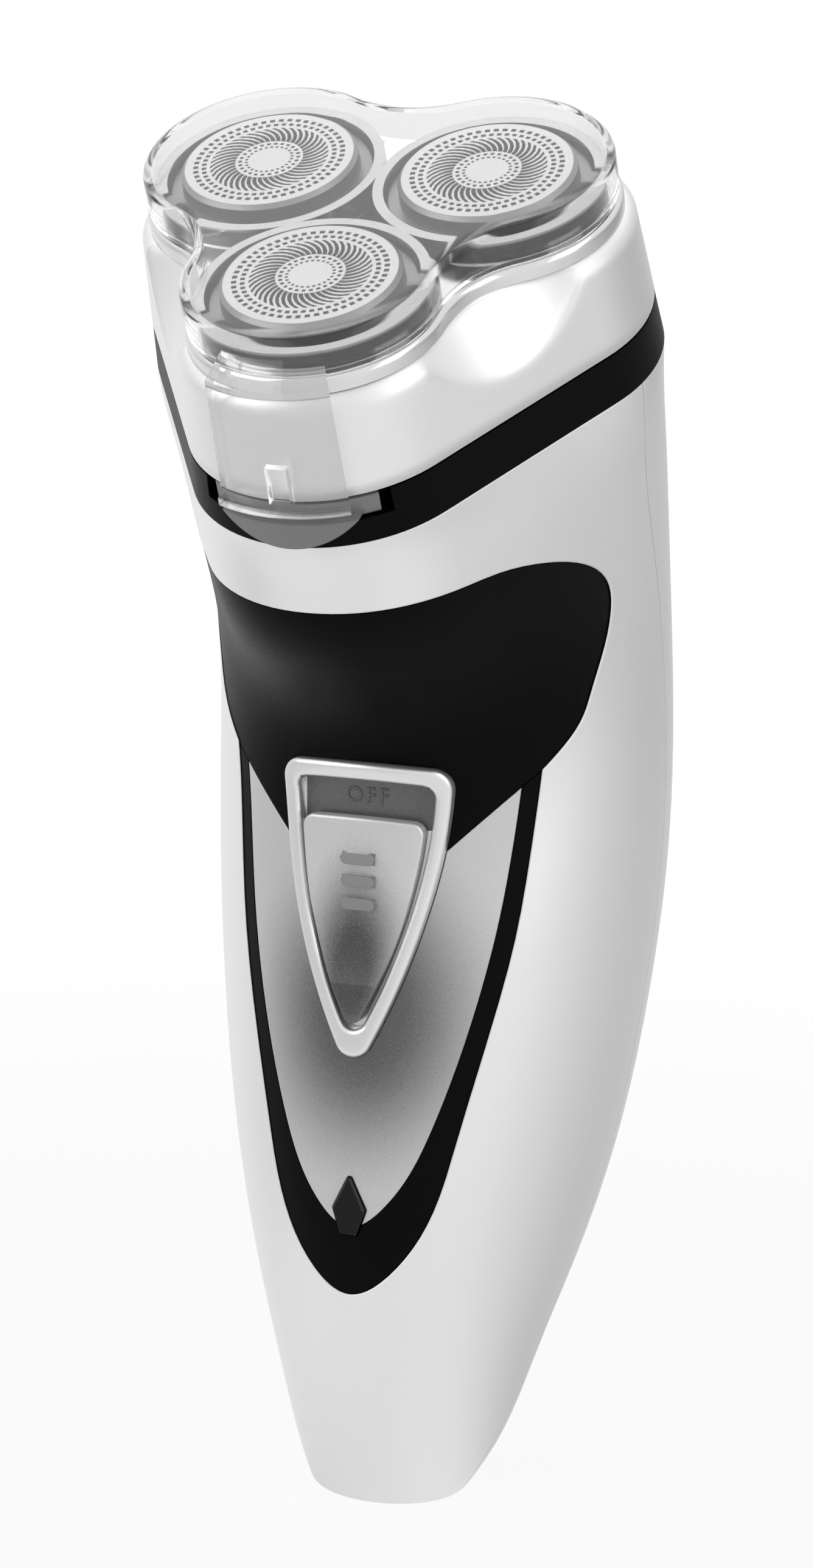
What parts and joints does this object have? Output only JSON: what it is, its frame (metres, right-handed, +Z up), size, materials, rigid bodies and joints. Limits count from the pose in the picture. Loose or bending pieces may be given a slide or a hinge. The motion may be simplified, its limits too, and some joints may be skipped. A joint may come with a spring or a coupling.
{
  "type": "electric shaver",
  "caption": "Rotary electric shaver: hinged lobed head with slotted combs under a clear cap, thumb-slide switch, release button, charging inlet in the foot",
  "frame": {"origin": "Middle of the flat foot, where the shaver stands upright", "axes": "+Z runs up the handle to the heads, -Y is the front with the switch, +X is to the right as seen from the front"},
  "size_m": [0.0644, 0.0879, 0.1792],
  "materials": {
    "silver_paint": "satin silver paint",
    "steel": "bright",
    "black_plastic": "satin",
    "plate_paint": "satin silver paint",
    "grey_plastic": "satin",
    "smoked_window": "clear smoked",
    "lamp_plastic": "diffusing",
    "board_laminate": "solder mask",
    "cell_can": "sleeved",
    "nickel_strip": "nickel",
    "dark_plastic": "moulded",
    "gear_plastic": "natural acetal",
    "motor_steel": "zinc",
    "brass_pinion": "turned",
    "bright_plating": "bright plated",
    "clear_cap": "clear moulded",
    "comb_steel": "satin"
  },
  "bodies": {
    "handle": {"front_shell": "silver_paint", "back_shell": "silver_paint", "shell_screws": "steel", "grip_panel": "black_plastic", "trim_frame": "black_plastic", "switch_plate": "plate_paint", "switch_bezel": "grey_plastic", "indicator_lens": "smoked_window", "indicator_led": "lamp_plastic", "circuit_board": "board_laminate", "slide_switch": "black_plastic", "battery_left": "cell_can", "battery_right": "cell_can", "battery_tabs": "nickel_strip", "charging_inlet": "black_plastic", "inlet_pins": "nickel_strip", "collar_band": "black_plastic", "hinge_pin": "steel", "drive_deck": "dark_plastic", "deck_screws": "steel", "gear_plate": "dark_plastic", "gear_axles": "steel", "drive_motor": "motor_steel", "release_spring": "steel"},
    "slider": {"power_slider": "grey_plastic", "switch_actuator": "black_plastic"},
    "button": {"release_button": "grey_plastic"},
    "head": {"head_housing": "silver_paint", "head_rim": "bright_plating", "cutter_frame": "dark_plastic"},
    "knob": {"lock_knob": "dark_plastic"},
    "cap": {"head_cap": "clear_cap"},
    "pinion": {"motor_pinion": "brass_pinion"},
    "drive_front": {"drive_gear_front": "gear_plastic", "drive_spindle_front": "gear_plastic"},
    "float_front": {"comb_front": "comb_steel"},
    "blade_front": {"cutter_front": "comb_steel"},
    "drive_right": {"drive_gear_right": "gear_plastic", "drive_spindle_right": "gear_plastic"},
    "float_right": {"comb_right": "comb_steel"},
    "blade_right": {"cutter_right": "comb_steel"},
    "drive_left": {"drive_gear_left": "gear_plastic", "drive_spindle_left": "gear_plastic"},
    "float_left": {"comb_left": "comb_steel"},
    "blade_left": {"cutter_left": "comb_steel"}
  },
  "joints": [
    {"name": "head_flip", "type": "hinge", "parent": "handle", "child": "head", "pos_m": [0, 0.00502, 0.16301], "axis": [-1, 0, 0], "range_deg": [0, 100]},
    {"name": "cap_lift", "type": "slide", "parent": "head", "child": "cap", "axis": [0, -0.4795, 0.8776], "range_m": [0, 0.05]},
    {"name": "release_press", "type": "slide", "parent": "handle", "child": "button", "axis": [0, 0.8776, 0.4795], "range_m": [0, 0.001], "stiffness_N_per_m": 900, "springref_m": -0.0008, "deforming": ["release_spring"]},
    {"name": "power_slide", "type": "slide", "parent": "handle", "child": "slider", "axis": [0, 0.0483, 0.9988], "range_m": [0, 0.0042]},
    {"name": "lock_turn", "type": "hinge", "parent": "head", "child": "knob", "pos_m": [0, -0.02049, 0.15671], "axis": [0, -0.4795, 0.8776], "range_deg": [0, 90]},
    {"name": "drive_spin_front", "type": "hinge", "parent": "handle", "child": "drive_front", "pos_m": [0, -0.0271, 0.13543], "axis": [0, -0.4795, 0.8776], "continuous": true},
    {"name": "drive_spin_right", "type": "hinge", "parent": "handle", "child": "drive_right", "pos_m": [0.01386, -0.00603, 0.14694], "axis": [0, -0.4795, 0.8776], "continuous": true},
    {"name": "drive_spin_left", "type": "hinge", "parent": "handle", "child": "drive_left", "pos_m": [-0.01386, -0.00603, 0.14694], "axis": [0, -0.4795, 0.8776], "continuous": true},
    {"name": "motor_spin", "type": "hinge", "parent": "handle", "child": "pinion", "pos_m": [0, -0.01305, 0.14311], "axis": [0, -0.4795, 0.8776], "continuous": true},
    {"name": "comb_float_front", "type": "slide", "parent": "head", "child": "float_front", "axis": [0, 0.4795, -0.8776], "range_m": [0, 0.0012], "stiffness_N_per_m": 600, "springref_m": -0.0006},
    {"name": "cutter_spin_front", "type": "hinge", "parent": "float_front", "child": "blade_front", "pos_m": [0, -0.03812, 0.15562], "axis": [0, -0.4795, 0.8776], "continuous": true},
    {"name": "comb_float_right", "type": "slide", "parent": "head", "child": "float_right", "axis": [0, 0.4795, -0.8776], "range_m": [0, 0.0012], "stiffness_N_per_m": 600, "springref_m": -0.0006},
    {"name": "cutter_spin_right", "type": "hinge", "parent": "float_right", "child": "blade_right", "pos_m": [0.01386, -0.01706, 0.16713], "axis": [0, -0.4795, 0.8776], "continuous": true},
    {"name": "comb_float_left", "type": "slide", "parent": "head", "child": "float_left", "axis": [0, 0.4795, -0.8776], "range_m": [0, 0.0012], "stiffness_N_per_m": 600, "springref_m": -0.0006},
    {"name": "cutter_spin_left", "type": "hinge", "parent": "float_left", "child": "blade_left", "pos_m": [-0.01386, -0.01706, 0.16713], "axis": [0, -0.4795, 0.8776], "continuous": true}
  ],
  "couplings": [
    {"joint": "motor_spin", "follows": "drive_spin_front", "ratio": -3},
    {"joint": "drive_spin_right", "follows": "drive_spin_front", "ratio": 1},
    {"joint": "drive_spin_left", "follows": "drive_spin_front", "ratio": 1},
    {"joint": "cutter_spin_front", "follows": "drive_spin_front", "ratio": 1},
    {"joint": "cutter_spin_right", "follows": "drive_spin_front", "ratio": 1},
    {"joint": "cutter_spin_left", "follows": "drive_spin_front", "ratio": 1}
  ]
}
